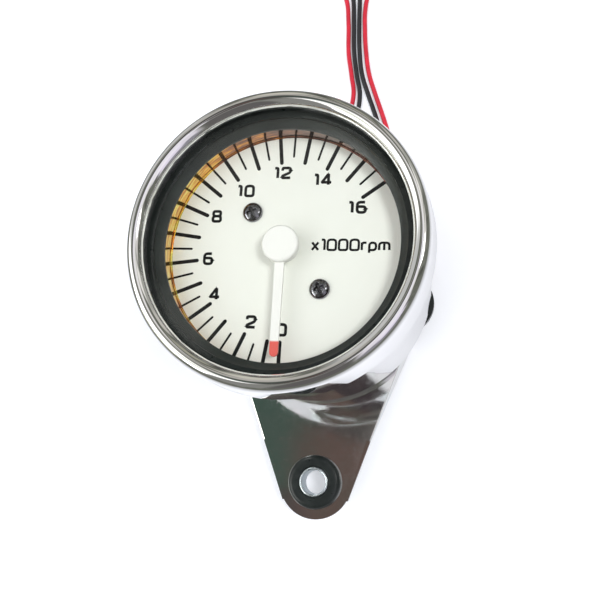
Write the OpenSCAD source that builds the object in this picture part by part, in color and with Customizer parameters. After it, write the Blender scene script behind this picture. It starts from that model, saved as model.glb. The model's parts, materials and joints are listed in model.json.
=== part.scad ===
// Cable-driven motorcycle tachometer, lying on its back with the dial facing up.
// Origin on the drive axis at the end of the cable boss, +Z out of the dial, bracket tab towards -Y.

/* [Bezel and lens] */
// Outer diameter of the bezel at its rear edge
bezel_d = 76.6; // [76:0.2:77.4]
// Clear diameter inside the bezel's lip
sight_d = 66.8; // [65:0.2:67]
// Thickness of the lens
lens_t = 2; // [1.4:0.2:2.4]
// Inner diameter of the black mask ring
mask_d = 60; // [58:0.5:61]
// Inner diameter of the amber light ring at the dial
light_d = 62; // [61.5:0.1:62.4]

/* [Housing] */
// Outer diameter of the cup
cup_d = 68.6; // [68:0.2:69]
// Height of the cup from its back to its flange
cup_h = 51; // [49:1:60]
// Sheet thickness of the cup
cup_wall = 1; // [0.8:0.1:1.2]
// Corner radius of the cup's back
cup_round = 4.2; // [3:0.2:4.2]

/* [Dial and pointer] */
// Diameter of the dial plate
dial_d = 65.6; // [65.2:0.1:65.8]
// Distance of the dial below the cup's flange
dial_drop = 4; // [3.5:0.5:5]
// Turn of the movement in the housing, in degrees
dial_turn = -1.7; // [-3:0.1:3]
// Distance of each dial screw from the axis
dial_screw_pcr = 13.8; // [13.4:0.1:14.4]
// Head diameter of the dial screws
dial_screw_head = 5.2; // [4.4:0.1:5.4]
// Length of the pointer from the axis to its tip
pointer_l = 28.2; // [24:0.2:29]
// Width of the pointer at its root
pointer_root_w = 2.4; // [2:0.1:3]
// Width of the pointer at its tip
pointer_tip_w = 2.1; // [1.4:0.1:2.3]
// Height of the pointer above the dial
pointer_rise = 5; // [4.4:0.2:5.2]
// Diameter of the pointer's cap
cap_d = 9.5; // [8:0.1:10]

/* [Drive] */
// Outer diameter of the threaded cable boss
boss_d = 12; // [11.5:0.5:12]
// Diameter of the drive shaft
shaft_d = 5.2; // [5:0.1:5.4]
// Width across the square socket for the cable's tip
socket_w = 2.7; // [2.4:0.1:3]
// Outer diameter of the ring magnet
magnet_d = 21; // [18:0.5:21]
// Height of the ring magnet
magnet_h = 11; // [9:0.5:11]

/* [Bracket] */
// Thickness of the bracket's sheet
plate_t = 1.4; // [1.2:0.1:2]
// Height of the bracket's top face above the surface it rests on
plate_top = 12; // [11:0.5:13]
// Distance from the axis to the tab's hole
tab_l = 57.8; // [52:0.2:64]
// Radius of the tab's round end
tab_r = 10.7; // [10:0.1:12]
// Half width of the bracket at its shoulders
shoulder_x = 27.9; // [27.5:0.1:29]
// Distance from the axis back to the shoulders
shoulder_y = 14; // [13:0.5:15]
// Outer radius of the sharp bend where each side flange turns down
bend_r = 0.3; // [0.2:0.1:0.8]

/* [Rubber mount] */
// Outer diameter of the grommet
grommet_d = 15.7; // [15:0.1:18]
// Height of the grommet and of the collar in it
grommet_h = 7; // [6:0.5:9]
// Outer diameter of the steel collar
collar_d = 8.6; // [8:0.1:9]
// Bore of the steel collar
collar_bore = 7; // [6.2:0.1:7.2]

/* [Illumination] */
// Distance of each bulb holder from the axis
bulb_pcr = 25.9; // [25.4:0.1:26]
// Turn of the bulb holders from the X axis, in degrees
bulb_turn = -9; // [-11:1:-6]
// Diameter of the bulb holder's rubber flange
boot_d = 18.4; // [16:0.2:19]
// Diameter of each wire
wire_d = 1.6; // [1.4:0.1:1.7]

/* [Hidden] */
$fn = 64;
fit = 0.05;       // radial clearance of a running fit

// Heights of the faces that the pieces stack on, all above the resting surface
cup_back = plate_top;
floor_z = cup_back + cup_wall;
seat_z = cup_back + cup_h;
dial_z = seat_z - dial_drop;
dial_t = 0.8;
rim_seal_t = 0.8;
mask_base = seat_z + rim_seal_t;
mask_top = seat_z + 4.8;
lens_seal_t = 1;
lens_base = mask_top + lens_seal_t;
lens_top = lens_base + lens_t;
crest_z = lens_top + 3.2;
crest_drop = 2.2;   // how far the bezel's roll falls from its crest to the lip over the lens
bezel_back = seat_z - 1.6;

// Radii of the bezel, the cup and what they hold
bezel_r = bezel_d / 2;
bezel_wall = 0.8;
sight_r = sight_d / 2;
crest_r = sight_r + 2.25;
crest_w = 1.85;     // from the crest out to where its ellipse would end
flank_from = 30;    // angle on that ellipse where the flatter flank takes over
flank_r = 6;
neck_r = crest_r + 2.2; // where the flank meets the wall, which widens down to the rear edge
rim_r = neck_r - bezel_wall - 0.35;
lens_r = sight_r + 1.2;
mask_r = mask_d / 2;
light_r = light_d / 2;
light_out = light_r + 1.6;
cup_r = cup_d / 2;
cup_in = cup_r - cup_wall;
roll_r = 0.9;

// Movement, from the floor of the cup up to the dial
base_t = 3;
base_r = 19.5;
base_top = floor_z + base_t;
shaft_r = shaft_d / 2;
bush_r = shaft_r + 1.3;
bush_foot = 3;
boss_flange_r = 8.5;
boss_flange_t = 1.2;
shaft_foot = 1;
shaft_top = base_top + 15.5;
carrier_z = base_top + 1;
carrier_t = 3;
carrier_hub_r = 4.5;
magnet_z = carrier_z + carrier_t;
magnet_r = magnet_d / 2;
cup_gap = 0.7;
drag_in = magnet_r + cup_gap;
drag_t = 0.6;
drag_foot = magnet_z + 0.6;
drag_top = magnet_z + magnet_h + 3.5;
drag_hub_top = drag_top + 3;
field_in = drag_in + drag_t + 1.4;
field_out = field_in + 1;
field_top = drag_top + 2.5;
pillar_pcr = 17.4;
pillar_r = 2.6;
bridge_t = 2;
bridge_z = dial_z - dial_t - 8.2 - bridge_t;
bridge_top = bridge_z + bridge_t;
spindle_r = 0.6;
pivot_r = 0.4;
pivot_foot = shaft_top - 1.7;
jewel_r = 1.4;
spring_z = bridge_z - 4.5;
spring_h = 1.4;
spring_t = 0.25;
spring_in = 2.1;
spring_out = 8.6;
spring_turns = 6;
stud_r = 2;
stud_pcr = 16;
screw_r = 1.2;
pointer_z = dial_z + pointer_rise;
pointer_t = 0.8;

// Bracket geometry: the straight edges run from the round end to the shoulders
plate_low = plate_top - plate_t;
shoulder_reach = tab_l - shoulder_y;
shoulder_far = norm([shoulder_x, shoulder_reach]);
edge_r = tab_r + 0.3;
edge_a = atan2(shoulder_reach, shoulder_x) + asin(edge_r / shoulder_far);
edge_l = sqrt(pow(shoulder_far, 2) - pow(edge_r, 2));
edge_corner = 1.5;  // how far each straight edge runs on before the round end cuts in
flange_from = 17;   // along the edge from the round end, where each side flange starts to drop
flange_foot = 2;    // length of its lower edge that stands on the resting surface
back_r = 23;
notch_r = boot_d / 2 + 0.8;
grommet_hole_r = 6;
grommet_low = plate_low + plate_t / 2 - grommet_h / 2;

// Bulb holders, with the wires leaving each through a short sleeve
bulb_hole_r = 4.3;
socket_bore = 3.3;
sleeve_r = 2.6;
sleeve_reach = 10.5;
sleeve_z = 4.2;
pair_half = 0.95;
boot_low = 0.4;

right_boot = bulb_pcr * [cos(bulb_turn), sin(bulb_turn)];
left_boot = -right_boot;

// Wire routes: points along the surface, chosen by hand
right_x = right_boot[0];
left_x = left_boot[0];
exit_right = right_boot[1] + sleeve_reach;
exit_left = left_boot[1] + sleeve_reach;
lie = wire_d / 2;
right_red_route = [[right_x + pair_half, exit_right, sleeve_z], [right_x + pair_half, 11, sleeve_z], [26.1, 15, 3.5],
    [25.9, 20, 2.5], [25.5, 26, 1.4], [24.8, 32, 0.9], [23.6, 39, lie], [21.8, 47, lie], [19.6, 55, lie],
    [17.2, 63, lie], [14.6, 71, lie], [12.6, 78, lie], [11.5, 86, lie], [11, 94, lie], [11, 102, lie],
    [12, 108, lie], [14.4, 113.5, 1.4], [16, 118.5, 2.3], [16, 121, 2.3]];
right_black_route = [[right_x - pair_half, exit_right, sleeve_z], [right_x - pair_half, 11, sleeve_z], [24.1, 15, 3.5],
    [23.8, 20, 2.5], [23.3, 26, 1.4], [22.5, 32, 0.9], [21.2, 39, lie], [19.2, 48, lie], [16.9, 56, lie],
    [14.7, 63.4, lie], [12.2, 71, lie], [10.2, 78, lie], [9.3, 86, lie], [9, 94, lie], [9, 102, lie],
    [9.2, 108, lie], [10.1, 113.5, 1.4], [10.6, 118.5, 2.3], [10.6, 121, 2.3]];
left_red_route = [[left_x - pair_half, exit_left, sleeve_z], [left_x - pair_half, 17, sleeve_z], [-26, 21, 3.3],
    [-25.2, 26, 2.2], [-23.6, 32, 1.2], [-20.6, 38.5, lie], [-16.2, 44.5, lie], [-10.6, 50, lie],
    [-4.4, 55, lie], [1.4, 59.6, lie], [5.8, 64.4, lie], [7.4, 70, lie], [6.6, 78, lie], [5.5, 86, lie],
    [5.2, 98, lie], [4.2, 107, lie], [1.4, 113, 1.4], [-0.2, 118.5, 2.3], [-0.2, 121, 2.3]];
left_black_route = [[left_x + pair_half, exit_left, sleeve_z], [left_x + pair_half, 17, sleeve_z], [-24, 21, 3.3],
    [-23.2, 26, 2.2], [-21.6, 31.4, 1.2], [-18.8, 37, lie], [-14.6, 42.5, lie], [-9.2, 47.6, lie],
    [-3, 52.6, lie], [3, 57.2, lie], [8, 62.6, lie], [9.6, 69.6, lie], [8.4, 78, lie], [7.4, 86, lie],
    [7.1, 98, lie], [6.7, 107, lie], [5.6, 113, 1.4], [5.2, 118.5, 2.3], [5.2, 121, 2.3]];
terminal_r = 2.3;
terminal_l = 18;
tube_sides = 8;

// Points of an arc about (x, y), from angle a to angle b
function arc(x, y, rx, ry, a, b, n) =
    [for (i = [0:n]) let (t = a + (b - a) * i / n) [x + rx * cos(t), y + ry * sin(t)]];

// Unit vector of v
function unit(v) = v / norm(v);

// Direction of a route at its point i
function heading(p, i) = unit(p[min(i + 1, len(p) - 1)] - p[max(i - 1, 0)]);

// Ring of points around point i, square to the route, with its first point kept level
function ring(p, i, r) = let (t = heading(p, i), u = unit(cross([0, 0, 1], t)), w = cross(t, u))
    [for (k = [0:tube_sides - 1]) let (a = 360 * (k + 0.5) / tube_sides) p[i] + r * (u * cos(a) + w * sin(a))];

// Tube swept along the points of a route
module wire(p) {
    n = len(p);
    s = tube_sides;
    r = wire_d / 2 / cos(180 / s);
    points = [for (i = [0:n - 1]) each ring(p, i, r * 0.96)];
    sides = [for (i = [0:n - 2]) for (k = [0:s - 1]) each [
        [i * s + k, (i + 1) * s + k, (i + 1) * s + (k + 1) % s],
        [i * s + k, (i + 1) * s + (k + 1) % s, i * s + (k + 1) % s]]];
    caps = [[for (k = [0:s - 1]) k], [for (k = [s - 1:-1:0]) (n - 1) * s + k]];
    polyhedron(points = points, faces = concat(sides, caps), convexity = 10);
}

// Ring between two radii, standing on height z
module tube(r_out, r_in, z, h) {
    translate([0, 0, z]) difference() {
        cylinder(r = r_out, h = h);
        translate([0, 0, -1]) cylinder(r = r_in, h = h + 2);
    }
}

module rod(r, z, h) {
    translate([0, 0, z]) cylinder(r = r, h = h);
}

module at_angle(a, r) {
    rotate([0, 0, a]) translate([r, 0, 0]) children();
}

// Rolled ring: rear edge turned in under the cup's flange, wall rising to the neck, flank and
// crest, and a fall to the lip over the lens
module bezel() {
    lip_z = crest_z - crest_drop;
    fall = crest_r - sight_r;
    w = bezel_wall;
    slope = atan(crest_w / crest_drop * tan(flank_from));
    flank_x = crest_r + crest_w * cos(flank_from) - flank_r * cos(slope);
    flank_z = lip_z + crest_drop * sin(flank_from) - flank_r * sin(slope);
    flare = acos((neck_r - flank_x) / flank_r);
    color("gainsboro") rotate_extrude($fn = 128) polygon(concat(
        [[cup_r + 0.5, bezel_back]],
        arc(bezel_r - roll_r, bezel_back + roll_r, roll_r, roll_r, -90, 0, 4),
        arc(flank_x, flank_z, flank_r, flank_r, flare, slope, 4),
        arc(crest_r, lip_z, crest_w, crest_drop, flank_from + 10, 90, 6),
        arc(crest_r, lip_z, fall, crest_drop, 98, 180, 7),
        [[sight_r, lens_top], [sight_r + w, lens_top]],
        arc(crest_r, lip_z, fall - w, crest_drop - w, 180, 90, 8),
        arc(crest_r, lip_z, neck_r - w - crest_r, crest_drop - w, 72, 0, 4),
        [[bezel_r - w, seat_z - w], [cup_r + 0.5, seat_z - w]]));
}

module lens() {
    color([0.85, 0.92, 0.95, 0.35]) rod(lens_r, lens_base, lens_t);
}

// Rubber channel under the lens and round its edge
module lens_gasket() {
    color("black") rotate_extrude() polygon([[mask_r + 2, mask_top], [rim_r, mask_top], [rim_r, lens_top],
        [lens_r, lens_top], [lens_r, lens_base], [mask_r + 2, lens_base]]);
}

// Black plastic ring whose inner face slopes down towards the dial
module mask_ring() {
    shelf = seat_z + 2.4;
    color("black") rotate_extrude() polygon([[mask_r, shelf + 0.6], [mask_r + 2, mask_top],
        [rim_r, mask_top], [rim_r, mask_base], [light_out + 0.3, mask_base], [light_out + 0.3, shelf],
        [mask_r, shelf]]);
}

// Translucent ring that carries the light of the bulbs to the edge of the dial
module light_ring() {
    color([1, 0.6, 0.15, 0.8]) rotate_extrude() polygon([[light_r, dial_z], [light_out, dial_z],
        [light_out, seat_z + 2.4], [mask_r + 0.3, seat_z + 2.4]]);
}

module rim_gasket() {
    color("dimgray") tube(rim_r, cup_r + 0.2, seat_z, rim_seal_t);
}

// Deep-drawn cup with a rounded back, an outward flange and holes for boss, studs and bulbs
module housing_cup() {
    flat_r = cup_r - cup_round;
    in_round = cup_round - cup_wall;
    color("silver") difference() {
        rotate_extrude($fn = 128) polygon(concat(
            [[0, cup_back]],
            arc(flat_r, cup_back + cup_round, cup_round, cup_round, -90, 0, 6),
            [[cup_r, seat_z - bezel_wall], [rim_r, seat_z - bezel_wall], [rim_r, seat_z], [cup_in, seat_z]],
            arc(flat_r, cup_back + cup_round, in_round, in_round, 0, -90, 6),
            [[0, floor_z]]));
        rod(boss_d / 2 + 0.3, cup_back - 1, cup_wall + 2);
        for (a = [90, -90]) at_angle(a, stud_pcr) rod(stud_r + 0.3, cup_back - 1, cup_wall + 2);
        for (a = [0, 180]) at_angle(bulb_turn + a, bulb_pcr) rod(bulb_hole_r, cup_back - 1, cup_wall + 2);
    }
}

// Places children at both dial screws
module dial_screw_places() {
    for (a = [133, -47]) at_angle(a + dial_turn, dial_screw_pcr) children();
}

module dial() {
    color("ivory") difference() {
        rod(dial_d / 2, dial_z - dial_t, dial_t);
        rod(2, dial_z - dial_t - 1, dial_t + 2);
        dial_screw_places() rod(screw_r + 0.2, dial_z - dial_t - 1, dial_t + 2);
    }
}

// Pan-head screw with a cross recess, its head standing on height z
module cross_screw(head_d, z, shank_l) {
    head_h = 1.7;
    slot_w = 0.7;
    difference() {
        union() {
            rotate_extrude($fn = 48) translate([0, z]) polygon(concat([[0, 0]],
                arc(0, 0.5, head_d / 2, head_h - 0.5, 0, 90, 6)));
            rod(screw_r, z - shank_l, shank_l + 0.2);
        }
        for (a = [20, 110]) rotate([0, 0, a])
            translate([-head_d * 0.3, -slot_w / 2, z + head_h - 0.9]) cube([head_d * 0.6, slot_w, 2]);
    }
}

module dial_screws() {
    color("black") dial_screw_places() cross_screw(dial_screw_head, dial_z, 7);
}

module dial_posts() {
    color("goldenrod") dial_screw_places() tube(2.6, screw_r, bridge_top, dial_z - dial_t - bridge_top);
}

// Flat arm with a round end, a hub plate under the cap and a tube on the spindle
module pointer() {
    root = 3;
    hub_drop = 1.4;
    tip_r = pointer_tip_w / 2;
    color("white") rotate([0, 0, dial_turn - 90]) {
        translate([0, 0, pointer_z]) linear_extrude(pointer_t) polygon(concat(
            [[root, pointer_root_w / 2], [root, -pointer_root_w / 2]],
            arc(pointer_l - tip_r, 0, tip_r, tip_r, -90, 90, 8)));
        tube(cap_d / 2 - 0.4, spindle_r, pointer_z - hub_drop, pointer_t + hub_drop);
        tube(1.5, spindle_r, dial_z + 1.4, pointer_rise - hub_drop - 1.4);
    }
}

module pointer_cap() {
    cap_h = 1.3;
    edge = 0.8;
    color("white") rotate_extrude() translate([0, pointer_z + pointer_t]) polygon(concat(
        [[0, 0], [cap_d / 2, 0]],
        arc(cap_d / 2 - edge, cap_h - edge, edge, edge, 0, 90, 6),
        [[0, cap_h]]));
}

module pointer_spindle() {
    color("lightsteelblue") {
        rod(spindle_r, pivot_foot + 2.4, pointer_z + pointer_t - pivot_foot - 2.4);
        rod(pivot_r, pivot_foot, 2.6);
    }
}

// Aluminium drag cup, open towards the magnet
module speed_cup() {
    color("lightgray") difference() {
        union() {
            rod(drag_in + drag_t, drag_foot, drag_top - drag_foot);
            rod(2.4, drag_top - 0.1, drag_hub_top - drag_top + 0.1);
        }
        rod(drag_in, drag_foot - 1, drag_top - drag_foot + 1 - drag_t);
        rod(spindle_r, drag_foot, drag_hub_top);
    }
}

module spring_collet() {
    color("gold") tube(spring_in - 0.1 - spring_t / 2, spindle_r, spring_z - 0.5, spring_h + 1);
}

// Flat spiral of bronze strip, from its eye on the collet out to the stud
module hairspring() {
    steps = 16;
    n = spring_turns * steps;
    grow = (spring_out - spring_in) / n;
    function strip(side) = [for (i = [0:n]) let (r = spring_in + grow * i + side * spring_t / 2, a = 360 * i / steps)
        [r * cos(a), r * sin(a)]];
    inside = strip(-1);
    color("darkgoldenrod") translate([0, 0, spring_z]) linear_extrude(spring_h)
        polygon(concat(strip(1), [for (i = [n:-1:0]) inside[i]]));
}

module spring_stud() {
    color("goldenrod") translate([spring_out + 0.8, 0, 0]) rod(0.9, spring_z - 0.3, bridge_z - spring_z + 0.3);
}

// Bar with round ends, centred on the axis
module bar(l, w, z, h) {
    translate([-l / 2, -w / 2, z]) cube([l, w, h]);
    for (s = [-1, 1]) translate([s * l / 2, 0, 0]) rod(w / 2, z, h);
}

// Places children on both pillars of the frame
module pillar_places() {
    for (a = [43, 223]) at_angle(a + dial_turn, pillar_pcr) children();
}

module top_bridge() {
    color("gainsboro") difference() {
        union() {
            rotate([0, 0, 43 + dial_turn]) bar(2 * pillar_pcr, 8, bridge_z, bridge_t);
            rotate([0, 0, 133 + dial_turn]) bar(2 * dial_screw_pcr, 8, bridge_z, bridge_t);
            rod(11, bridge_z, bridge_t);
        }
        rod(1.6, bridge_z - 1, bridge_t + 2);
        pillar_places() rod(screw_r + 0.2, bridge_z - 1, bridge_t + 2);
    }
}

module bridge_screws() {
    color("silver") pillar_places() cross_screw(4.6, bridge_top, 7);
}

module spindle_bush() {
    color("orange") difference() {
        union() {
            rod(1.6, bridge_z - 0.8, bridge_t + 1.4);
            rod(2.6, bridge_top, 0.6);
        }
        rod(spindle_r + fit, bridge_z - 2, bridge_t + 5);
    }
}

// Cast base with two pillars that carry the bridge
module movement_frame() {
    color("darkgray") difference() {
        union() {
            rod(base_r, floor_z, base_t);
            pillar_places() rod(pillar_r, base_top - 0.5, bridge_z - base_top + 0.5);
        }
        rod(bush_r, floor_z - 1, base_t + 2);
        rod(boss_flange_r, floor_z - 1, boss_flange_t + 1);
        for (a = [90, -90]) at_angle(a, stud_pcr) rod(stud_r, floor_z - 1, base_t + 2);
        pillar_places() rod(screw_r, bridge_z - 8, 9);
    }
}

// Steel ring outside the drag cup that closes the magnet's field
module field_ring() {
    color("slategray") tube(field_out, field_in, base_top, field_top - base_top);
}

module magnet() {
    color("dimgray") tube(magnet_r, carrier_hub_r, magnet_z, magnet_h);
}

module magnet_carrier() {
    color("peru") difference() {
        union() {
            rod(magnet_r, carrier_z, carrier_t);
            rod(carrier_hub_r, carrier_z, carrier_t + magnet_h);
        }
        rod(shaft_r, carrier_z - 1, carrier_t + magnet_h + 2);
    }
}

// Steel shaft with a square socket at its foot and a pivot seat at its top
module drive_shaft() {
    socket_l = 11;
    color("lightsteelblue") difference() {
        rod(shaft_r, shaft_foot, shaft_top - shaft_foot);
        translate([-socket_w / 2, -socket_w / 2, shaft_foot - 1]) cube([socket_w, socket_w, socket_l + 1]);
        rod(jewel_r, shaft_top - 2.5, 3);
    }
}

module pivot_bearing() {
    color("orange") tube(jewel_r, pivot_r + fit, shaft_top - 2.5, 2.5);
}

module drive_bush() {
    color("orange") tube(bush_r, shaft_r + fit, bush_foot, base_top - bush_foot);
}

module thrust_washer() {
    color("silver") tube(bush_r + 0.6, shaft_r + 0.1, base_top, 0.8);
}

module retaining_clip() {
    color("silver") tube(bush_r, shaft_r, 2, 0.6);
}

// Nose that the cable's nut screws onto, with a neck through the sheets and a flange under the frame
module cable_boss() {
    nose_r = boss_d / 2;
    nose_l = 9;
    color("lightgray") difference() {
        union() {
            rod(nose_r, 0, nose_l);
            rod(nose_r - 0.5, nose_l - 0.1, floor_z - nose_l + 0.2);
            rod(boss_flange_r, floor_z, boss_flange_t);
        }
        rod(bush_r, bush_foot - 0.1, floor_z + 2);
        rod(bush_r + 0.5, -1, bush_foot + 1);
    }
}

module mounting_studs() {
    color("silver") for (a = [90, -90]) at_angle(a, stud_pcr) rod(stud_r, 4.4, base_top - 4.4);
}

module mounting_washers() {
    color("silver") for (a = [90, -90]) at_angle(a, stud_pcr) tube(4.4, stud_r + 0.15, plate_low - 0.8, 0.8);
}

module mounting_nuts() {
    color("silver") for (a = [90, -90]) at_angle(a, stud_pcr) translate([0, 0, plate_low - 0.8 - 3.2])
        difference() {
            cylinder(r = 3.5 / cos(30), h = 3.2, $fn = 6);
            translate([0, 0, -1]) cylinder(r = stud_r, h = 6);
        }
}

// Puts children in the frame of each straight edge: X along the edge, -Y outwards
module edge_places() {
    for (s = [0, 1]) mirror([s, 0, 0]) translate([0, -tab_l, 0]) rotate([0, 0, edge_a]) children();
}

// Side flange: sheet bent down along the edge, its depth growing towards the shoulders
module side_flange() {
    intersection() {
        translate([flange_from, 0, 0]) rotate([90, 0, 90]) linear_extrude(edge_l - flange_from)
            polygon(concat(
                [[-edge_r, -1]],
                arc(bend_r - edge_r, plate_top - bend_r, bend_r, bend_r, 180, 90, 6),
                [[plate_t - edge_r, plate_top], [plate_t - edge_r, -1]]));
        rotate([90, 0, 0]) linear_extrude(2 * edge_r) polygon([[flange_from, plate_top + 1],
            [flange_from, plate_low], [edge_l - flange_foot, 0], [edge_l, 0], [edge_l, plate_top + 1]]);
    }
}

// Pressed plate: round tab end, straight flanged sides, and a lobe on the studs between the bulb holders
module bracket() {
    color("silver") {
        difference() {
            translate([0, 0, plate_low]) linear_extrude(plate_t) difference() {
                union() {
                    translate([0, -tab_l]) circle(r = tab_r, $fn = 96);
                    polygon(concat(
                        [[-shoulder_x, -shoulder_y]],
                        [for (s = [-1, 1]) [s * (edge_r * sin(edge_a) - edge_corner * cos(edge_a)),
                            -tab_l - edge_r * cos(edge_a) - edge_corner * sin(edge_a)]],
                        [[shoulder_x, -shoulder_y]]));
                    circle(r = back_r, $fn = 96);
                }
                for (p = [right_boot, left_boot]) translate(p) circle(r = notch_r);
                translate([0, -tab_l]) circle(r = grommet_hole_r);
                circle(r = boss_d / 2 + 0.5);
                for (s = [-1, 1]) translate([0, s * stud_pcr]) circle(r = stud_r + 0.3);
            }
            edge_places() translate([flange_from, -edge_r - 1, plate_low - 1])
                cube([edge_l - flange_from + 1, bend_r + 1, plate_t + 2]);
        }
        edge_places() side_flange();
    }
}

// Rubber grommet with a groove on the sheet, its rims rounded
module grommet() {
    out = grommet_d / 2;
    top = grommet_low + grommet_h;
    rim = 1.6;
    color("black") translate([0, -tab_l, 0]) rotate_extrude() polygon(concat(
        [[collar_d / 2, grommet_low]],
        arc(out - rim, grommet_low + rim, rim, rim, -90, 0, 5),
        [[out, plate_low], [grommet_hole_r, plate_low], [grommet_hole_r, plate_top], [out, plate_top]],
        arc(out - rim, top - rim, rim, rim, 0, 90, 5),
        [[collar_d / 2, top]]));
}

module grommet_collar() {
    color("whitesmoke") translate([0, -tab_l, 0]) tube(collar_d / 2, collar_bore / 2, grommet_low, grommet_h);
}

// Rubber bulb holder pushed into the cup's back, with a sleeve for its two wires
module bulb_holder(place) {
    out = boot_d / 2;
    color("black") translate([place[0], place[1], 0]) {
        difference() {
            union() {
                rotate_extrude() polygon(concat(
                    [[0, boot_low], [5, boot_low]],
                    arc(5, boot_low + 1.6, 1.6, 1.6, -90, 0, 4),
                    [[7.4, 8.4]],
                    arc(out - 1.4, 9.8, 1.4, 1.4, -90, 0, 4),
                    [[out, cup_back], [bulb_hole_r, cup_back], [bulb_hole_r, floor_z], [bulb_hole_r + 0.5, floor_z],
                     [bulb_hole_r + 0.1, floor_z + 2.2], [0, floor_z + 2.2]]));
                translate([0, 0, sleeve_z]) rotate([-90, 0, 0]) cylinder(r = sleeve_r, h = sleeve_reach);
            }
            rod(socket_bore, 5.5, floor_z);
        }
    }
}

module bulb_holder_right() {
    bulb_holder(right_boot);
}

module bulb_holder_left() {
    bulb_holder(left_boot);
}

// Brass sleeves that hold the bulbs
module bulb_sockets() {
    color("goldenrod") for (p = [right_boot, left_boot]) translate([p[0], p[1], 0])
        tube(socket_bore, socket_bore - 0.4, 5.5, floor_z - 2.5);
}

// Small lamps: a base in the socket and a glass envelope with a round end
module bulbs() {
    glass_r = 2.7;
    color([0.95, 0.95, 0.85, 0.5]) for (p = [right_boot, left_boot]) translate([p[0], p[1], 0])
        rotate_extrude() polygon(concat([[0, 8], [socket_bore - 0.4, 8], [socket_bore - 0.4, floor_z + 2],
            [glass_r, floor_z + 3]], arc(0, floor_z + 10, glass_r, glass_r, 0, 90, 6)));
}

module right_red_wire() {
    color("red") wire(right_red_route);
}

module right_black_wire() {
    color([0.1, 0.1, 0.1]) wire(right_black_route);
}

module left_red_wire() {
    color("red") wire(left_red_route);
}

module left_black_wire() {
    color([0.1, 0.1, 0.1]) wire(left_black_route);
}

// Bullet terminal on the end of a wire: insulating sleeve, then the plated bullet with its neck
module terminal(route) {
    end = route[len(route) - 1];
    sleeve_l = 11;
    translate(end) rotate([-90, 0, 0]) {
        cylinder(r = terminal_r, h = sleeve_l);
        cylinder(r = 1.7, h = terminal_l - 3.5);
        translate([0, 0, sleeve_l + 1]) cylinder(r = 1.3, h = terminal_l - sleeve_l - 3);
        translate([0, 0, terminal_l - 3]) cylinder(r1 = 1.8, r2 = 1, h = 3);
    }
}

module right_red_terminal() {
    color("silver") terminal(right_red_route);
}

module right_black_terminal() {
    color("silver") terminal(right_black_route);
}

module left_red_terminal() {
    color("silver") terminal(left_red_route);
}

module left_black_terminal() {
    color("silver") terminal(left_black_route);
}

bezel();
lens();
lens_gasket();
mask_ring();
light_ring();
rim_gasket();
housing_cup();
dial();
dial_screws();
dial_posts();
pointer();
pointer_cap();
pointer_spindle();
speed_cup();
spring_collet();
hairspring();
spring_stud();
top_bridge();
bridge_screws();
spindle_bush();
movement_frame();
field_ring();
magnet();
magnet_carrier();
drive_shaft();
pivot_bearing();
drive_bush();
thrust_washer();
retaining_clip();
cable_boss();
mounting_studs();
mounting_washers();
mounting_nuts();
bracket();
grommet();
grommet_collar();
bulb_holder_right();
bulb_holder_left();
bulb_sockets();
bulbs();
right_red_wire();
right_black_wire();
left_red_wire();
left_black_wire();
right_red_terminal();
right_black_terminal();
left_red_terminal();
left_black_terminal();
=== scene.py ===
import json
import math

import bpy
from mathutils import Matrix, Vector
from mathutils.geometry import interpolate_bezier


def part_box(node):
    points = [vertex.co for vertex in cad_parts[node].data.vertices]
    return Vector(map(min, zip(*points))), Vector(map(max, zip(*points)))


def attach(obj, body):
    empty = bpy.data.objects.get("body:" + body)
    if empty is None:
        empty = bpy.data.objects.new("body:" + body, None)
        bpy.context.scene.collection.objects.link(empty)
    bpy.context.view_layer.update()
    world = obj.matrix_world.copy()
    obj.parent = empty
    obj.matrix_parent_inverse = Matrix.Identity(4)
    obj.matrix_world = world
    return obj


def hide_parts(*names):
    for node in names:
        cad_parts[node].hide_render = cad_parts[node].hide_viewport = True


MM = 0.001
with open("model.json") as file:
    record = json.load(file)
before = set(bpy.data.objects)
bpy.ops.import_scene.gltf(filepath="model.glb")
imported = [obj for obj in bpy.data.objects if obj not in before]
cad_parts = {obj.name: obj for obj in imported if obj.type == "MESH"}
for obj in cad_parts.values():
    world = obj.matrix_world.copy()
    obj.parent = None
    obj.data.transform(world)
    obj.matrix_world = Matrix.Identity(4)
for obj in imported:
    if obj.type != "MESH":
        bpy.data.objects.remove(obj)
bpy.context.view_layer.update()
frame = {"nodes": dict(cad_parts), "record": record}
nodes = frame["nodes"]


# Places and sizes in millimetres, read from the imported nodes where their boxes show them

def low(name):
    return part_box(name)[0] / MM


def high(name):
    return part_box(name)[1] / MM


bezel_r = high("bezel").x
bezel_back = low("bezel").z
crest_z = high("bezel").z
bezel_wall = 0.8
crest_drop = 2.2
sight_r = 33.4
lens_r = high("lens").x
lens_base = low("lens").z
lens_top = high("lens").z
mask_base = low("mask_ring").z
mask_top = high("mask_ring").z
seat_z = high("housing_cup").z
cup_back = low("housing_cup").z
cup_r = 34.3
cup_wall = 1
rim_r = high("housing_cup").x
dial_z = high("dial").z
light_r = 31
light_out = high("light_ring").x
light_top = high("light_ring").z
mask_r = 30
pointer_t = 0.8
pointer_z = high("pointer").z - pointer_t
cap_r = high("pointer_cap").x
cap_top = high("pointer_cap").z
plate_top = high("bracket").z
plate_t = 1.4
plate_low = plate_top - plate_t
tab_y = -57.8
dial_turn = -1.7
screw_circle = 13.8
wire_r = 0.8
wire_pair_half = 0.95
outlet_z = 4.2


# Camera at the photograph's place and angle

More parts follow.
